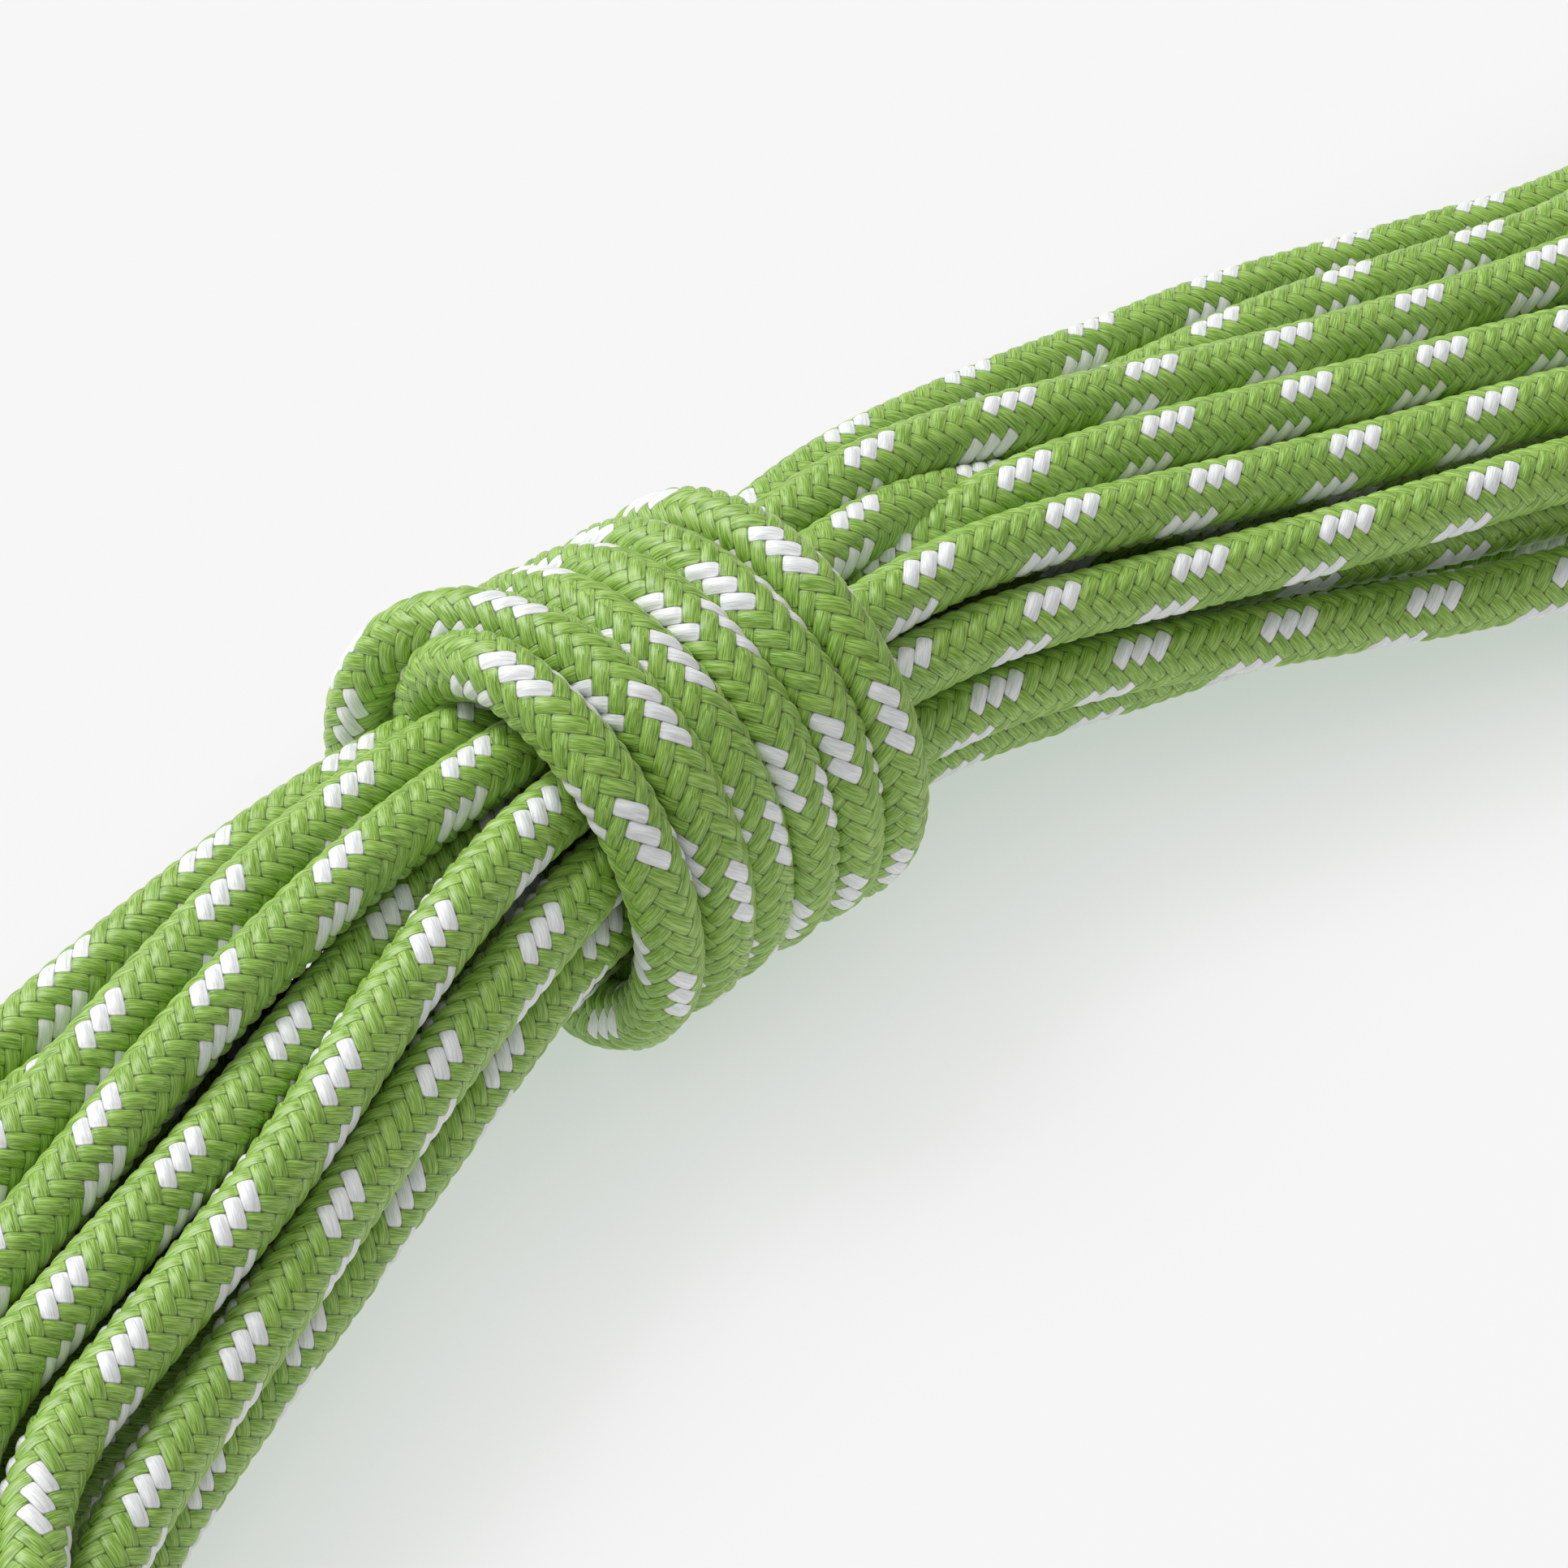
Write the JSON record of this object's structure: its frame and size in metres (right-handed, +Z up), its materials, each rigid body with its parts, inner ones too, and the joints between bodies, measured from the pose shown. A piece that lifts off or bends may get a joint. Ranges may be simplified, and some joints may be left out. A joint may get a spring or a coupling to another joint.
{
  "type": "hank of dynamic kernmantle climbing cord",
  "caption": "Hank of thin green kernmantle cord with white tracer flecks, tied round its waist by turns of the same cord, with both ends sleeved and melted.",
  "frame": {"origin": "on the surface it lies on, in the middle of the flat face under the waist turns", "axes": "+X along the hank at its waist, towards the end that both rope ends come out of; +Z up"},
  "size_m": [0.2958, 0.0634, 0.0329],
  "materials": {
    "braid_green": "satin braided polyamide, green with white tracer yarns",
    "core_white": "twisted white polyamide yarn",
    "sleeve_black": "heat-shrink sleeve, plain",
    "tip_green": "melted and set polyamide"
  },
  "bodies": {
    "root": {"hank_turns": "braid_green", "waist_turns": "braid_green", "tail_a_sheath": "braid_green", "tail_a_core_strand_1": "core_white", "tail_a_core_strand_2": "core_white", "tail_a_core_strand_3": "core_white", "tail_a_core_strand_4": "core_white", "tail_a_core_strand_5": "core_white", "tail_a_core_strand_6": "core_white", "tail_a_core_strand_7": "core_white", "tail_a_end_sleeve": "sleeve_black", "tail_a_melted_tip": "tip_green", "tail_b_sheath": "braid_green", "tail_b_core_strand_1": "core_white", "tail_b_core_strand_2": "core_white", "tail_b_core_strand_3": "core_white", "tail_b_core_strand_4": "core_white", "tail_b_core_strand_5": "core_white", "tail_b_core_strand_6": "core_white", "tail_b_core_strand_7": "core_white", "tail_b_end_sleeve": "sleeve_black", "tail_b_melted_tip": "tip_green"}
  },
  "joints": []
}
